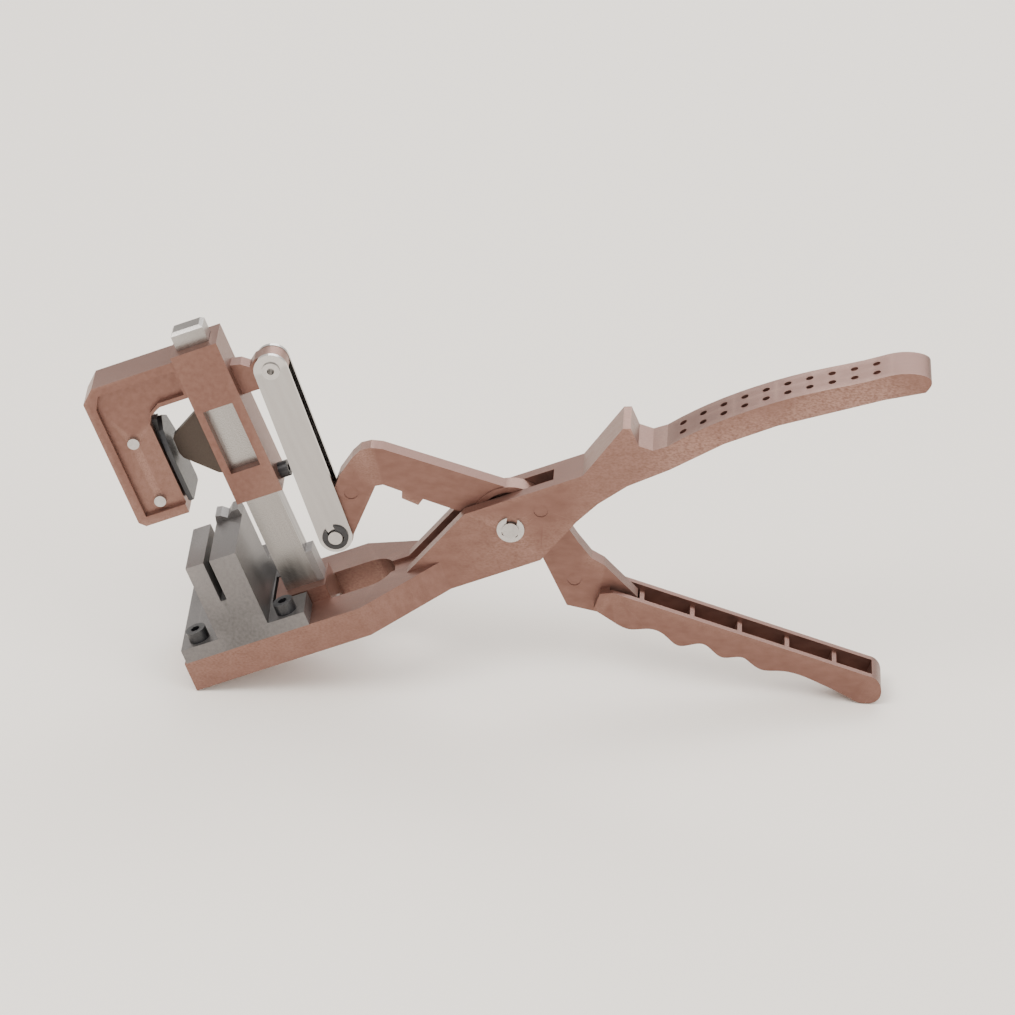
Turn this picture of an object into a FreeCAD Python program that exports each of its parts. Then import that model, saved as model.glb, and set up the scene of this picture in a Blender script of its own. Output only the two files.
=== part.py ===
import FreeCAD, Part
import math
import os

os.makedirs("parts", exist_ok=True)
Vector = FreeCAD.Vector

# All sizes are in millimetres, in the tool frame: the origin is the main pivot on the mid-plane,
# X runs along the sole towards the handles, Y across the tool, Z along the guide rail.

# Overall and frame
base_front = -118.4
base_rear = -55.0
base_half_width = 23.0
sole = -14.4
base_top = -3.6
body_half_width = 8.2
cheek_front = -27.0
slot_half = 3.75
slot_rear = 19.2
window_front = -66.4
window_half = 9.0
window_rear = -44.0
handle_rear = 150.0
handle_top = 14.5
handle_bottom = 4.5

# Guide rail, its boss and its stop
rail_x = -75.0
rail_w = 11.3
rail_t = 7.3
rail_top = 103.8
rail_foot = -12.0
rail_chamfer = 1.0
boss_front = -84.5
boss_top = 1.5
boss_half = 8.0
stop_t = 2.3
stop_half = 3.6
stop_top = 13.0

# Carriage
slide_gap = 0.1
sleeve_wall_front = 2.0
sleeve_wall_rear = 2.9
sleeve_half = 7.5
sleeve_bottom = 39.4
sleeve_top = 97.4
arm_front = -116.8
arm_inner = -99.2
arm_bottom = 42.0
arm_top = 95.6
arm_half = 7.0
throat_top = 81.7
arm_wall = 3.3
arm_recess = 2.0

# Blade and die
blade_x = -96.5
blade_t = 1.6
blade_half = 8.0
blade_bottom = 46.0
blade_top = 76.0
tang_half = 2.0
tang_front = -111.0
blade_pin_r = 2.0
die_front = -104.0
die_rear = -86.0
die_top = 30.0
die_slot_depth = 15.4
die_slot_gap = 0.3
ear_top = 1.5
ear_front = -117.6
ear_rear = -73.0

# Pivots and links
pivot_pin_r = 2.8
run_gap = 0.05
bush_r = 4.2
low_x = -57.2
low_z = 15.5
low_pin_r = 2.4
up_x = -54.0
up_z = 80.5
up_pin_r = 2.5
link_r = 5.75
link_t = 1.4
lever_half = 3.0
hub_half = 3.5
hub_r = 13.4
link_inner = lever_half + 0.1
link_outer = link_inner + link_t
link_slot_half = 0.4
clip_t = 0.7

# Lower handle
grip_x = 29.7
grip_z = -41.3
grip_angle = 40.0
grip_half = 7.2
grip_wall = 2.3
grip_end = 87.0
grip_tip_r = 5.2

# Fasteners
m4_r = 2.0
m4_head_r = 3.5
m4_head_h = 4.0
thread_gap = 0.02

rail_front = rail_x - rail_w / 2
rail_rear = rail_x + rail_w / 2
sleeve_front = rail_front - slide_gap - sleeve_wall_front
sleeve_rear = rail_rear + slide_gap + sleeve_wall_rear
mid_y = Vector(0, 1, 0)


def box(x0, x1, y0, y1, z0, z1):
    return Part.makeBox(x1 - x0, y1 - y0, z1 - z0, Vector(x0, y0, z0))


def prism(points, y0, y1):
    corners = [Vector(x, y0, z) for x, z in points]
    face = Part.Face(Part.makePolygon(corners + corners[:1]))
    return face.extrude(Vector(0, y1 - y0, 0))


def plan(points, z0, z1):
    corners = [Vector(x, y, z0) for x, y in points]
    face = Part.Face(Part.makePolygon(corners + corners[:1]))
    return face.extrude(Vector(0, 0, z1 - z0))


def curved_prism(line_points, curve_points, y0, y1):
    """A profile closed by straight edges and one smooth curve from the last line point to the first."""
    corners = [Vector(x, y0, z) for x, z in line_points]
    edges = Part.makePolygon(corners).Edges
    curve = Part.BSplineCurve()
    through = [line_points[-1]] + curve_points + [line_points[0]]
    curve.interpolate([Vector(x, y0, z) for x, z in through])
    face = Part.Face(Part.Wire(edges + [curve.toShape()]))
    return face.extrude(Vector(0, y1 - y0, 0))


def rod_y(x, z, r, y0, y1):
    return Part.makeCylinder(r, y1 - y0, Vector(x, y0, z), mid_y)


def rod_x(y, z, r, x0, x1):
    return Part.makeCylinder(r, x1 - x0, Vector(x0, y, z), Vector(1, 0, 0))


def rod_z(x, y, r, z0, z1):
    return Part.makeCylinder(r, z1 - z0, Vector(x, y, z0))


def mirrored(shape):
    return shape.mirror(Vector(0, 0, 0), mid_y)


def snap_ring(x, z, r_in, r_out, y0, y1, angle):
    """An E-clip: a ring with an open mouth and three inner lobes."""
    ring = rod_y(x, z, r_out, y0, y1).cut(rod_y(x, z, r_in, y0 - 1, y1 + 1))
    for side in (-50, 50):
        turn = math.radians(angle + 180 + side)
        cx = x + r_in * math.cos(turn)
        cz = z + r_in * math.sin(turn)
        ring = ring.cut(rod_y(cx, cz, (r_out - r_in) * 0.45, y0 - 1, y1 + 1))
    mouth = box(x, x + 2 * r_out, y0 - 1, y1 + 1, z - r_in * 0.8, z + r_in * 0.8)
    mouth.rotate(Vector(x, 0, z), Vector(0, -1, 0), angle)
    return ring.cut(mouth)


def grooved_pin(x, z, r, end, clip_face):
    """A plain pin with a clip groove near each end."""
    pin = rod_y(x, z, r, -end, end)
    groove_r = r * 0.8
    ring = rod_y(x, z, r + 1, clip_face, clip_face + clip_t)
    ring = ring.cut(rod_y(x, z, groove_r, clip_face - 1, clip_face + clip_t + 1))
    return pin.cut(ring).cut(mirrored(ring)), groove_r


def cap_screw(r, head_r, head_h, length):
    """A socket cap screw standing on Z = 0 with its shank below."""
    screw = rod_z(0, 0, head_r, 0, head_h).fuse(rod_z(0, 0, r, -length, 0))
    key = Part.makePolygon([
        Vector(r * 0.85 * math.cos(math.radians(60 * i)), r * 0.85 * math.sin(math.radians(60 * i)), head_h / 2)
        for i in range(7)])
    return screw.cut(Part.Face(key).extrude(Vector(0, 0, head_h)))


def grip_point(along, across):
    """A point in the lower handle's own directions, as tool-frame X and Z."""
    turn = math.radians(grip_angle)
    x = grip_x + along * math.cos(turn) + across * math.sin(turn)
    z = grip_z - along * math.sin(turn) + across * math.cos(turn)
    return x, z


def make_frame():
    profile_line = [
        (handle_rear - 3.2, handle_bottom - 3.6), (133.0, handle_bottom - 1.5), (97.0, handle_bottom + 1.5),
        (78.0, handle_bottom + 1.2), (58.0, 2.8), (42.4, 1.8), (30.8, -1.1), (21.7, -5.0), (5.2, sole),
        (cheek_front, sole), (window_rear, sole), (window_rear, -4.8), (-41.0, -4.8), (-12.6, 10.5),
        (29.8, 10.5), (48.6, 22.4), (51.0, 21.6), (51.2, 14.6), (55.0, 11.4), (60.0, 11.2)]
    profile_curve = [
        (74.6, handle_top - 0.9), (94.3, handle_top), (114.8, handle_top - 1.3),
        (132.5, handle_top - 3.4), (handle_rear - 5.0, handle_top - 5.6), (handle_rear, 4.6)]
    frame = curved_prism(profile_line, profile_curve, -body_half_width, body_half_width)
    base = plan([
        (base_front, -base_half_width), (base_rear, -base_half_width), (cheek_front, -body_half_width),
        (cheek_front, body_half_width), (base_rear, base_half_width), (base_front, base_half_width)],
        sole, base_top)
    boss = box(boss_front, window_front, -boss_half, boss_half, base_top, boss_top)
    frame = frame.fuse([base, boss])
    window_end_x = window_rear - window_half
    window = box(window_front, window_end_x, -window_half, window_half, sole - 1, boss_top + 1)
    window = window.fuse(rod_z(window_end_x, 0, window_half, sole - 1, base_top + 5))
    through_slot = box(cheek_front + 1, slot_rear, -slot_half, slot_half, sole - 1, handle_top)
    front_slot = box(window_rear - 1, cheek_front + 2, -slot_half, slot_half, base_top - 1.2, handle_top)
    frame = frame.cut([window, through_slot, front_slot])
    rail_pocket = box(rail_front, rail_rear, -rail_t / 2, rail_t / 2, rail_foot, boss_top + 1)
    stop_pocket = box(rail_rear, rail_rear + stop_t, -stop_half, stop_half, base_top, boss_top + 1)
    clamp_hole = rod_x(0, clamp_z, clamp_r + 0.1, rail_rear - 1, window_front + 1)
    pivot_hole = rod_y(0, 0, pivot_pin_r, -body_half_width - 1, body_half_width + 1)
    frame = frame.cut([rail_pocket, stop_pocket, clamp_hole, pivot_hole])
    for x, y in die_screw_places:
        frame = frame.cut(rod_z(x, y, m4_r + thread_gap, sole + 2, base_top + 1))
    for i in range(10):
        x = 66.0 + 7.5 * i
        for y in (-3.2, 3.2):
            frame = frame.cut(rod_z(x, y, 1.3, handle_top - 2.4 - 0.014 * (x - 97.0) ** 2 / 10, handle_top + 2))
    mark = rod_y(12.0, 3.0, 2.4, -body_half_width - 1, -body_half_width + 0.3)
    return frame.cut([mark, mirrored(mark)])


def make_rail():
    rail = box(rail_front, rail_rear, -rail_t / 2, rail_t / 2, rail_foot, rail_top)
    top_edges = [e for e in rail.Edges if e.BoundBox.ZMin > rail_top - 0.01]
    rail = rail.makeChamfer(rail_chamfer, top_edges)
    return rail.cut(rod_x(0, clamp_z, clamp_r + thread_gap, rail_x - 1, rail_rear + 1))


def make_die():
    slot_half_x = blade_t / 2 + die_slot_gap
    plate = box(ear_front, ear_rear, -base_half_width, base_half_width, base_top, ear_top)
    plate = plate.cut(box(boss_front - 1, ear_rear + 1, -boss_half - 1, boss_half + 1, base_top - 1, ear_top + 1))
    wall = box(die_front, die_rear, -base_half_width, base_half_width, base_top, 8.0)
    left = box(die_front, blade_x, -base_half_width, 5.0, base_top, die_top)
    right = box(blade_x, die_rear, -base_half_width, 11.0, base_top, die_top)
    horn = prism([(blade_x + slot_half_x, die_top), (blade_x + slot_half_x + 0.6, die_top + 2.6),
                  (-93.0, die_top + 2.2), (-91.0, die_top + 0.6), (-89.0, die_top + 2.4),
                  (die_rear - 0.5, die_top + 2.6), (die_rear, die_top)], 4.0, 11.0)
    die = plate.fuse([wall, left, right, horn])
    slot = box(blade_x - slot_half_x, blade_x + slot_half_x, -base_half_width - 1, base_half_width,
               die_top - die_slot_depth, die_top + 5)
    die = die.cut(slot)
    for x, y in die_screw_places:
        die = die.cut(rod_z(x, y, m4_r + 0.2, base_top - 1, ear_top + 1))
    return die


def make_carriage():
    sleeve = box(sleeve_front, sleeve_rear, -sleeve_half, sleeve_half, sleeve_bottom, sleeve_top)
    arm_outline = [
        (sleeve_front + 1, arm_top), (-112.0, arm_top), (arm_front, arm_top - 4.5), (arm_front, arm_bottom + 2),
        (arm_front + 2, arm_bottom), (arm_inner, arm_bottom), (arm_inner, throat_top - 6),
        (arm_inner + 2, throat_top - 2), (arm_inner + 6, throat_top), (sleeve_front + 1, throat_top)]
    arm = prism(arm_outline, -arm_half, arm_half)
    recess_outline = [
        (sleeve_front - 1, arm_top - arm_wall), (-111.0, arm_top - arm_wall),
        (arm_front + arm_wall, arm_top - 4.5 - arm_wall), (arm_front + arm_wall, arm_bottom + arm_wall),
        (arm_inner, arm_bottom + arm_wall), (arm_inner, throat_top - 6), (arm_inner + 2, throat_top - 1),
        (arm_inner + 6, throat_top + 1.5), (sleeve_front - 1, throat_top + 1.5)]
    recess = prism(recess_outline, -arm_half - 1, -arm_half + arm_recess)
    arm = arm.cut([recess, mirrored(recess)])
    lug = prism([(sleeve_rear - 1, up_z - 5.6), (up_x, up_z - 5.6), (up_x, up_z + 5.6),
                 (-58.0, up_z + 5.0), (-60.5, up_z + 3.0), (-63.0, up_z + 5.0), (sleeve_rear - 1, up_z + 6.0)],
                -lever_half, lever_half)
    lug = lug.fuse(rod_y(up_x, up_z, 5.6, -lever_half, lever_half))
    carriage = sleeve.fuse([arm, lug])
    channel = box(rail_front - slide_gap, rail_rear + slide_gap, -rail_t / 2 - slide_gap, rail_t / 2 + slide_gap,
                  sleeve_bottom - 1, sleeve_top + 1)
    window = box(rail_front + 0.4, rail_rear - 0.4, -sleeve_half - 1, 0, 50.7, 75.2)
    tang_slot = box(tang_front, arm_inner + 1, -tang_half, tang_half, blade_bottom, blade_top)
    pins = [rod_y(x, z, blade_pin_r, -arm_half - 1, arm_half + 1) for x, z in blade_pin_places]
    lug_hole = rod_y(up_x, up_z, up_pin_r, -lever_half - 1, lever_half + 1)
    screw_hole = rod_x(0, side_screw_z, side_screw_r, rail_rear, sleeve_rear + 1)
    fin_slot = box(sleeve_front - 1, sleeve_front + 1.2, -fin_half, fin_half, 48.0, 74.0)
    return carriage.cut([channel, window, tang_slot, lug_hole, screw_hole, fin_slot] + pins)


def make_blade():
    tang = box(tang_front, blade_x, -tang_half, tang_half, blade_bottom, blade_top)
    edge = blade_t / 2
    plate = Part.Face(Part.makePolygon([
        Vector(blade_x - edge, y, z) for y, z in (
            (-blade_half, blade_bottom + 1), (-blade_half, 66.0), (-5.5, 73.0), (0, blade_top), (5.5, 73.0),
            (blade_half, 66.0), (blade_half, blade_bottom + 1), (7.0, blade_bottom), (-7.0, blade_bottom),
            (-blade_half, blade_bottom + 1))])).extrude(Vector(blade_t, 0, 0))
    tang = tang.cut(box(blade_x - edge, blade_x + 5, -tang_half - 1, tang_half + 1, blade_bottom - 1, blade_top + 1))
    blade = tang.fuse(plate)
    return blade.cut([rod_y(x, z, blade_pin_r, -arm_half, arm_half) for x, z in blade_pin_places])


def make_lever():
    outline = [
        (2.9, 13.0), (-30.4, 40.2), (-34.0, 42.0), (-37.5, 42.3), (-41.2, 40.6), (-47.5, 36.1),
        (-62.6, 17.9), (-63.1, 14.0), (-57.2, 9.6), (-52.6, 12.4), (-37.8, 28.1), (-35.2, 27.7),
        (-30.2, 23.2), (-31.2, 20.8), (-27.0, 16.5), (-24.6, 18.1), (-13.0, 8.0), (0.0, 0.0)]
    arm = prism(outline, -lever_half, lever_half).fuse(rod_y(low_x, low_z, 6.0, -lever_half, lever_half))
    hub = rod_y(0, 0, hub_r, -hub_half, hub_half)
    shank = prism([(0, -4), (4.9, -13.0), (6.2, -36.0), grip_point(-6, -9.5), grip_point(0, -8),
                   grip_point(0, 0), (23.5, -26.0), (20.4, -22.0), (18.3, -14.5), (16.8, -7.0), (10, -2)],
                  -lever_half, lever_half)
    rim_start = -13.0
    line = [grip_point(rim_start, -7.5), grip_point(rim_start, -1), grip_point(rim_start + 4, 0.8),
            grip_point(grip_end - 4, 0.3)]
    curve = [grip_point(s, n) for s, n in (
        (grip_end + 1.5, -3.0), (grip_end + 2.0, -7.0), (grip_end - 2, -10.2), (78.0, -9.6), (68.0, -8.0),
        (57.5, -7.4), (53.0, -8.4), (48.2, -9.8), (43.0, -8.4), (40.6, -7.6), (33.8, -9.9), (26.0, -7.3),
        (18.6, -10.7), (12.5, -8.4), (7.5, -7.9), (1.0, -10.4), (-6.0, -9.4))]
    grip = curved_prism(line, curve, -grip_half, grip_half)
    inner = grip_half - grip_wall
    pocket = prism([grip_point(s, n) for s, n in (
        (rim_start + 3, -4.6), (rim_start + 3, 3), (grip_end - 3, 3), (grip_end - 3, -5.0))], -inner, inner)
    grip = grip.cut(pocket)
    ribs = []
    for s in (1.0, 19.0, 36.0, 53.0, 70.0):
        ribs.append(prism([grip_point(s, -5.5), grip_point(s, -0.8), grip_point(s + 1.6, -0.8),
                           grip_point(s + 1.6, -5.5)], -inner - 0.5, inner + 0.5))
    lever = arm.fuse([hub, shank, grip] + ribs)
    bore = rod_y(0, 0, bush_r, -hub_half - 1, hub_half + 1)
    spring_space = rod_y(0, 0, spring_space_r, -hub_half - 1, spring_floor)
    collar = rod_y(0, 0, bush_r + 1.2, -hub_half - 1, hub_half)
    spring_space = spring_space.cut(collar)
    low_hole = rod_y(low_x, low_z, low_pin_r, -lever_half - 1, lever_half + 1)
    mark_a = rod_y(-46.4, 28.5, 2.4, -lever_half - 1, -lever_half + 0.3)
    mark_b = rod_y(12.1, -27.6, 2.4, -lever_half - 1, -lever_half + 0.3)
    return lever.cut([bore, spring_space, low_hole, mark_a, mark_b])


def make_link(y0, y1):
    length = math.hypot(up_x - low_x, up_z - low_z)
    turn = math.degrees(math.atan2(up_x - low_x, up_z - low_z))
    link = box(low_x - link_r, low_x + link_r, y0, y1, low_z, low_z + length)
    link = link.fuse([rod_y(low_x, low_z, link_r, y0, y1), rod_y(low_x, low_z + length, link_r, y0, y1)])
    link.rotate(Vector(low_x, 0, low_z), mid_y, turn)
    slot_r = low_pin_r + 0.2
    slot = box(low_x - link_slot_half * 2, low_x, y0 - 1, y1 + 1, low_z - slot_r, low_z + slot_r)
    slot = slot.fuse([rod_y(low_x - link_slot_half * 2, low_z, slot_r, y0 - 1, y1 + 1),
                      rod_y(low_x, low_z, slot_r, y0 - 1, y1 + 1)])
    slot.translate(Vector(link_slot_half, 0, 0))
    return link.cut([slot, rod_y(up_x, up_z, up_pin_r + run_gap, y0 - 1, y1 + 1)])


def make_spring():
    """Two close turns of wire lying in the hub's pocket."""
    turns = []
    for i in range(2):
        y = spring_floor - 0.1 - spring_wire_r - i * (2 * spring_wire_r + 0.03)
        turns.append(Part.makeTorus(spring_coil_r, spring_wire_r, Vector(0, y, 0), mid_y))
    return Part.makeCompound(turns)


spring_coil_r = 8.0
spring_wire_r = 0.6
clamp_z = -10.2
clamp_r = 1.5
side_screw_z = 43.2
side_screw_r = 1.5
fin_half = 1.2
spring_space_r = 11.4
spring_floor = -0.4
die_screw_places = [(-111.2, -18.0), (-79.5, -18.0), (-111.2, 18.0), (-79.5, 18.0)]
blade_pin_places = [(-107.0, 71.7), (-107.0, 48.8)]

parts = {}
parts["frame_casting"] = make_frame()
parts["guide_rail"] = make_rail()
parts["stop_plate"] = box(rail_rear, rail_rear + stop_t, -stop_half, stop_half, base_top, stop_top)
clamp = rod_x(0, clamp_z, 2.8, window_front, window_front + 1.2)
clamp = clamp.cut(box(window_front + 0.6, window_front + 2, -3, 3, clamp_z - 0.4, clamp_z + 0.4))
parts["rail_clamp_screw"] = clamp.fuse(rod_x(0, clamp_z, clamp_r, rail_x, window_front))
parts["die_block"] = make_die()
die_screws = []
for x, y in die_screw_places:
    screw = cap_screw(m4_r, m4_head_r, m4_head_h, 11.0)
    screw.translate(Vector(x, y, ear_top))
    die_screws.append(screw)
parts["die_screws"] = Part.makeCompound(die_screws)

pin, groove = grooved_pin(0, 0, pivot_pin_r, body_half_width + 1.3, body_half_width)
parts["main_pivot_pin"] = pin
clip = snap_ring(0, 0, groove, 4.6, -body_half_width - clip_t, -body_half_width, 60)
parts["main_pivot_clips"] = Part.makeCompound([clip, mirrored(clip)])
bush = rod_y(0, 0, bush_r, -hub_half, hub_half)
parts["lever_bush"] = bush.cut(rod_y(0, 0, pivot_pin_r + run_gap, -hub_half - 1, hub_half + 1))
parts["lever_casting"] = make_lever()
parts["return_spring"] = make_spring()

pin, groove = grooved_pin(low_x, low_z, low_pin_r, link_outer + 1.2, link_outer)
parts["lower_link_pin"] = pin
clip = snap_ring(low_x, low_z, groove, 4.4, -link_outer - clip_t, -link_outer, 100)
parts["lower_link_clips"] = Part.makeCompound([clip, mirrored(clip)])
parts["near_link"] = make_link(-link_outer, -link_inner)
parts["far_link"] = make_link(link_inner, link_outer)
rivet = rod_y(up_x, up_z, up_pin_r, -link_outer, link_outer)
rivet = rivet.fuse([rod_y(up_x, up_z, 3.0, link_outer, link_outer + 0.7),
                    rod_y(up_x, up_z, 3.0, -link_outer - 0.7, -link_outer)])
parts["upper_link_pin"] = rivet.cut(rod_y(up_x, up_z, 1.2, -link_outer - 1, link_outer + 1))

parts["carriage_casting"] = make_carriage()
parts["driver_blade"] = make_blade()
parts["blade_pins"] = Part.makeCompound(
    [rod_y(x, z, blade_pin_r, -arm_half + 0.6, arm_half - 0.6) for x, z in blade_pin_places])
parts["guide_fin"] = prism(
    [(sleeve_front + 1.2, 48.0), (sleeve_front - 3.0, 50.0), (-94.6, 59.0), (-95.3, 61.0), (-95.2, 66.8),
     (-94.4, 68.0), (sleeve_front - 1.0, 74.0), (sleeve_front + 1.2, 74.0)], -fin_half, fin_half)
side_screw = cap_screw(side_screw_r, 2.8, 3.2, 2.8)
side_screw.rotate(Vector(0, 0, 0), mid_y, 90)
side_screw.translate(Vector(sleeve_rear, 0, side_screw_z))
parts["carriage_side_screw"] = side_screw

# The tool stands on its front sole edge and the tip of the lower handle. The stance angle makes both level.
tip_x, tip_z = grip_point(grip_end - 3.2, -grip_tip_r)
reach = tip_x - base_front
drop = sole - tip_z
stance = math.degrees(math.atan2(drop, reach) + math.asin(grip_tip_r / math.hypot(reach, drop)))
for shape in parts.values():
    shape.rotate(Vector(0, 0, 0), Vector(0, -1, 0), stance)
bounds = FreeCAD.BoundBox()
for shape in parts.values():
    bounds.add(shape.optimalBoundingBox(False))
shift = Vector(-(bounds.XMin + bounds.XMax) / 2, -(bounds.YMin + bounds.YMax) / 2, -bounds.ZMin)
for name, shape in parts.items():
    shape.translate(shift)
    shape.exportStep(os.path.join("parts", name + ".step"))
    print(name, len(shape.Solids), shape.isValid(), round(shape.Volume, 1))
print("stance", stance, "shift", shift.x, shift.y, shift.z)
print("size", bounds.XLength, bounds.YLength, bounds.ZLength)
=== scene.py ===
import math
import bpy
from mathutils import Matrix, Vector

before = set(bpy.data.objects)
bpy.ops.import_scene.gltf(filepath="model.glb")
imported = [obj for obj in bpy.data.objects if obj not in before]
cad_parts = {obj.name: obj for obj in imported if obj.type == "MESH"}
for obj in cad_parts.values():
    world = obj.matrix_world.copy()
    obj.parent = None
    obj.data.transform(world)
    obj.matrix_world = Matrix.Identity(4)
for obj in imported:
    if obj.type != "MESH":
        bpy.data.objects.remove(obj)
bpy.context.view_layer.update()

# Camera, in metres and degrees
AZIMUTH = 1.37
ELEVATION = 28.02
ROLL = 2.45
DISTANCE = 1.836
TARGET = Vector((0.0021, 0.0, 0.0640))
LENS = 194.4


def new_group(name, inputs, outputs):
    group = bpy.data.node_groups.new(name, "ShaderNodeTree")
    for label, kind, value in inputs:
        sock = group.interface.new_socket(name=label, in_out="INPUT", socket_type=kind)
        sock.default_value = value
    for label, kind in outputs:
        group.interface.new_socket(name=label, in_out="OUTPUT", socket_type=kind)
    return group, group.nodes.new("NodeGroupInput"), group.nodes.new("NodeGroupOutput")


def math_node(tree, operation, a, b):
    node = tree.nodes.new("ShaderNodeMath")
    node.operation = operation
    for sock, value in ((node.inputs[0], a), (node.inputs[1], b)):
        if isinstance(value, (int, float)):
            sock.default_value = value
        else:
            tree.links.new(value, sock)
    return node.outputs[0]


def noise_node(tree, scale, detail=4.0, vector=None):
    node = tree.nodes.new("ShaderNodeTexNoise")
    node.inputs["Detail"].default_value = detail
    if isinstance(scale, (int, float)):
        node.inputs["Scale"].default_value = scale
    else:
        tree.links.new(scale, node.inputs["Scale"])
    if vector is not None:
        tree.links.new(vector, node.inputs["Vector"])
    return node.outputs["Fac"]


def ramp_node(tree, value, low, high):
    node = tree.nodes.new("ShaderNodeMapRange")
    tree.links.new(value, node.inputs["Value"])
    node.inputs["From Min"].default_value = low
    node.inputs["From Max"].default_value = high
    return node.outputs["Result"]


def mix_node(tree, factor, a, b):
    node = tree.nodes.new("ShaderNodeMix")
    node.data_type = "RGBA"
    for sock, value in ((node.inputs[0], factor), (node.inputs[6], a), (node.inputs[7], b)):
        if isinstance(value, (tuple, int, float)):
            sock.default_value = value
        else:
            tree.links.new(value, sock)
    return node.outputs[2]


# Painted edge highlight: convex edges (found by pointiness) get a lighter colour, broken up by noise.
def build_edge_highlight():
    group, source, sink = new_group(
        "EdgeHighlight",
        [("Width", "NodeSocketFloat", 0.06), ("Breakup", "NodeSocketFloat", 220.0)],
        [("Mask", "NodeSocketFloat")])
    geometry = group.nodes.new("ShaderNodeNewGeometry")
    edge = ramp_node(group, geometry.outputs["Pointiness"], 0.57, 0.68)
    spots = ramp_node(group, noise_node(group, source.outputs["Breakup"]), 0.3, 0.62)
    broken = math_node(group, "MULTIPLY", edge, spots)
    wide = math_node(group, "MULTIPLY", source.outputs["Width"], 12.0)
    group.links.new(math_node(group, "MULTIPLY", broken, wide), sink.inputs["Mask"])
    return group


def build_cast_skin():
    group, source, sink = new_group(
        "CastSkin",
        [("Scale", "NodeSocketFloat", 900.0), ("Blotch", "NodeSocketFloat", 35.0)],
        [("Height", "NodeSocketFloat"), ("Tone", "NodeSocketFloat")])
    fine = noise_node(group, source.outputs["Scale"], 6.0)
    broad = noise_node(group, source.outputs["Blotch"], 3.0)
    height = math_node(group, "ADD", fine, math_node(group, "MULTIPLY", broad, 0.6))
    group.links.new(height, sink.inputs["Height"])
    group.links.new(ramp_node(group, broad, 0.3, 0.7), sink.inputs["Tone"])
    return group


def build_brushed():
    group, source, sink = new_group(
        "BrushedLines",
        [("Stretch", "NodeSocketVector", (1.0, 1.0, 1.0)), ("Scale", "NodeSocketFloat", 400.0)],
        [("Height", "NodeSocketFloat")])
    coords = group.nodes.new("ShaderNodeTexCoord")
    turn = group.nodes.new("ShaderNodeVectorRotate")
    turn.rotation_type = "Y_AXIS"
    turn.inputs["Angle"].default_value = math.radians(23.4)
    group.links.new(coords.outputs["Object"], turn.inputs["Vector"])
    scale = group.nodes.new("ShaderNodeVectorMath")
    scale.operation = "MULTIPLY"
    group.links.new(turn.outputs["Vector"], scale.inputs[0])
    group.links.new(source.outputs["Stretch"], scale.inputs[1])
    lines = noise_node(group, source.outputs["Scale"], 5.0, scale.outputs["Vector"])
    group.links.new(lines, sink.inputs["Height"])
    return group


EDGE_HIGHLIGHT = build_edge_highlight()
CAST_SKIN = build_cast_skin()
BRUSHED = build_brushed()


def add_group(tree, group, values):
    node = tree.nodes.new("ShaderNodeGroup")
    node.node_tree = group
    for name, value in values.items():
        node.inputs[name].default_value = value
    return node


def start_material(name):
    material = bpy.data.materials.new(name)
    material.use_nodes = True
    tree = material.node_tree
    return material, tree, tree.nodes["Principled BSDF"]


def finish_height(tree, shader, height, strength, distance):
    bump = tree.nodes.new("ShaderNodeBump")
    bump.inputs["Strength"].default_value = strength
    bump.inputs["Distance"].default_value = distance
    tree.links.new(height, bump.inputs["Height"])
    tree.links.new(bump.outputs["Normal"], shader.inputs["Normal"])


def cast_metal(name, dark, light, edge, rough, metallic, grain):
    material, tree, shader = start_material(name)
    skin = add_group(tree, CAST_SKIN, {"Scale": grain, "Blotch": 38.0})
    edge_highlight = add_group(tree, EDGE_HIGHLIGHT, {"Width": 0.04, "Breakup": 260.0})
    base = mix_node(tree, skin.outputs["Tone"], dark, light)
    # Paints the lighter edge colour on convex edges as a painted edge highlight.
    tree.links.new(mix_node(tree, edge_highlight.outputs["Mask"], base, edge), shader.inputs["Base Color"])
    varied = math_node(tree, "MULTIPLY", skin.outputs["Tone"], 0.12)
    tree.links.new(math_node(tree, "ADD", varied, rough), shader.inputs["Roughness"])
    shader.inputs["Metallic"].default_value = metallic
    finish_height(tree, shader, skin.outputs["Height"], 0.22, 0.00012)
    return material


def brushed_metal(name, dark, light, rough, stretch, grain):
    material, tree, shader = start_material(name)
    lines = add_group(tree, BRUSHED, {"Stretch": stretch, "Scale": grain})
    edge_highlight = add_group(tree, EDGE_HIGHLIGHT, {"Width": 0.05, "Breakup": 300.0})
    base = mix_node(tree, lines.outputs["Height"], dark, light)
    # Paints a pale edge highlight on convex edges.
    highlighted = mix_node(tree, edge_highlight.outputs["Mask"], base, (0.85, 0.83, 0.8, 1.0))
    tree.links.new(highlighted, shader.inputs["Base Color"])
    varied = math_node(tree, "MULTIPLY", lines.outputs["Height"], 0.2)
    tree.links.new(math_node(tree, "ADD", varied, rough), shader.inputs["Roughness"])
    shader.inputs["Metallic"].default_value = 1.0
    finish_height(tree, shader, lines.outputs["Height"], 0.2, 0.0001)
    return material


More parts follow.
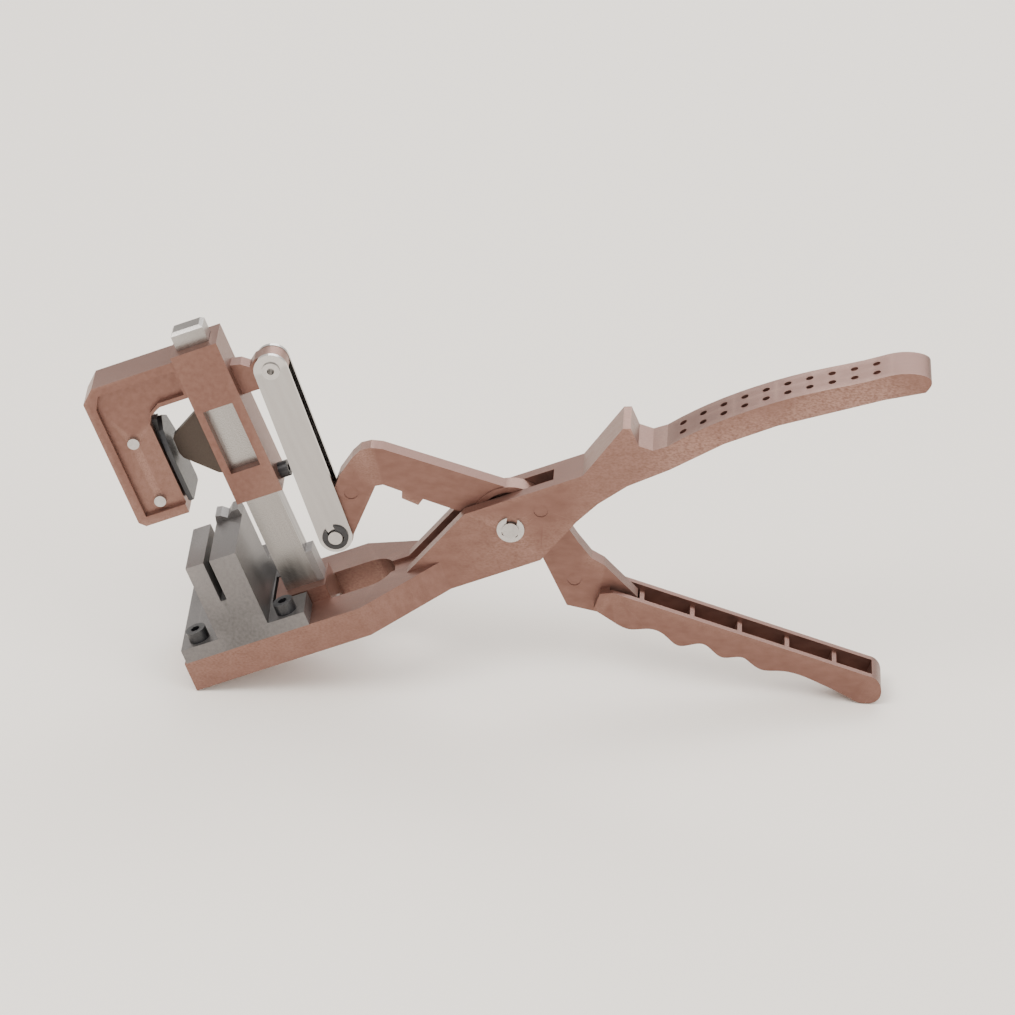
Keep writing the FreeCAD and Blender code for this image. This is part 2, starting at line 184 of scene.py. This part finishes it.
# The third colour of each cast metal is its painted edge highlight.
ROSE = cast_metal("RoseCasting", (0.158, 0.080, 0.062, 1), (0.200, 0.106, 0.084, 1), (0.55, 0.36, 0.29, 1), 0.32, 0.75, 1500.0)
GREY = cast_metal("GreyDie", (0.105, 0.100, 0.100, 1), (0.150, 0.142, 0.140, 1), (0.50, 0.47, 0.46, 1), 0.36, 0.8, 1300.0)
BLACK = cast_metal("BlackOxide", (0.010, 0.010, 0.012, 1), (0.022, 0.022, 0.025, 1), (0.14, 0.14, 0.14, 1), 0.3, 0.4, 1200.0)
BRONZE = cast_metal("DarkBronze", (0.022, 0.014, 0.010, 1), (0.045, 0.030, 0.022, 1), (0.16, 0.12, 0.09, 1), 0.42, 0.4, 1000.0)
STEEL = brushed_metal("BrushedRail", (0.11, 0.10, 0.095, 1), (0.25, 0.235, 0.225, 1), 0.22, (1.0, 1.0, 0.04), 1400.0)
PLATED = brushed_metal("PlatedLink", (0.34, 0.325, 0.315, 1), (0.44, 0.425, 0.415, 1), 0.1, (1.0, 1.0, 0.1), 500.0)
PIN = brushed_metal("PinSteel", (0.30, 0.288, 0.28, 1), (0.48, 0.46, 0.45, 1), 0.22, (1.0, 1.0, 1.0), 900.0)
BUSH = brushed_metal("BushBronze", (0.42, 0.29, 0.12, 1), (0.60, 0.44, 0.20, 1), 0.3, (1.0, 1.0, 1.0), 800.0)

LOOKS = {
    "frame_casting": (ROSE, 0.0007), "lever_casting": (ROSE, 0.0006), "carriage_casting": (ROSE, 0.0005),
    "guide_rail": (STEEL, 0.0003), "stop_plate": (GREY, 0.0002), "rail_clamp_screw": (PIN, 0.0002),
    "die_block": (GREY, 0.0004), "die_screws": (BLACK, 0.0003), "main_pivot_pin": (PIN, 0.0002),
    "main_pivot_clips": (PIN, 0.0001), "lever_bush": (BUSH, 0.0001), "return_spring": (PIN, 0.0),
    "lower_link_pin": (PIN, 0.0002), "lower_link_clips": (BLACK, 0.0001), "near_link": (PLATED, 0.0002),
    "far_link": (PLATED, 0.0002), "upper_link_pin": (PIN, 0.0002), "driver_blade": (BLACK, 0.0002),
    "blade_pins": (PIN, 0.0002), "guide_fin": (BRONZE, 0.0002), "carriage_side_screw": (BLACK, 0.0002),
}

for name, (material, bevel) in LOOKS.items():
    part = bpy.data.objects[name]
    part.data.materials.clear()
    part.data.materials.append(material)
    if bevel:
        edge = part.modifiers.new("soft_edges", "BEVEL")
        edge.width = bevel
        edge.segments = 3
        edge.limit_method = "ANGLE"
        edge.angle_limit = math.radians(32)
        edge.use_clamp_overlap = True
        edge.harden_normals = True


def stage_material(name, color, rough):
    material, tree, shader = start_material(name)
    shader.inputs["Base Color"].default_value = color
    shader.inputs["Roughness"].default_value = rough
    return material


bpy.ops.mesh.primitive_plane_add(size=12.0, location=(0, 0, -0.0002))
floor = bpy.context.object
floor.name = "floor"
floor.data.materials.append(stage_material("PaleFloor", (0.97, 0.92, 0.86, 1), 0.8))


def area_light(name, place, aim, size, power, color):
    data = bpy.data.lights.new(name, "AREA")
    data.shape = "RECTANGLE"
    data.size, data.size_y = size
    data.energy = power
    data.color = color
    light = bpy.data.objects.new(name, data)
    bpy.context.scene.collection.objects.link(light)
    light.location = place
    light.rotation_euler = (Vector(aim) - Vector(place)).to_track_quat("-Z", "Y").to_euler()
    return light


area_light("key", (-0.5, -0.5, 1.0), (0, 0, 0.06), (0.7, 0.5), 11.0, (1.0, 0.98, 0.95))
area_light("fill", (0.9, -0.7, 0.6), (0, 0, 0.06), (0.8, 0.8), 6.0, (1.0, 0.97, 0.94))
area_light("rim", (0.2, 1.0, 0.8), (0, 0, 0.06), (1.2, 0.5), 9.0, (1.0, 1.0, 1.0))

world = bpy.data.worlds.new("studio")
bpy.context.scene.world = world
world.use_nodes = True
world.node_tree.nodes["Background"].inputs["Color"].default_value = (1.0, 0.96, 0.91, 1)
world.node_tree.nodes["Background"].inputs["Strength"].default_value = 1.15

azimuth = math.radians(AZIMUTH)
elevation = math.radians(ELEVATION)
roll = math.radians(ROLL)
back = Vector((math.sin(azimuth) * math.cos(elevation), -math.cos(azimuth) * math.cos(elevation), math.sin(elevation)))
right = Vector((math.cos(azimuth), math.sin(azimuth), 0))
up = back.cross(right)
turned_right = right * math.cos(roll) + up * math.sin(roll)
turned_up = up * math.cos(roll) - right * math.sin(roll)
camera_data = bpy.data.cameras.new("camera")
camera_data.lens = LENS
camera_data.sensor_width = 36.0
camera = bpy.data.objects.new("camera", camera_data)
bpy.context.scene.collection.objects.link(camera)
axes = Matrix((turned_right, turned_up, back)).transposed().to_4x4()
axes.translation = TARGET + back * DISTANCE
camera.matrix_world = axes
bpy.context.scene.camera = camera

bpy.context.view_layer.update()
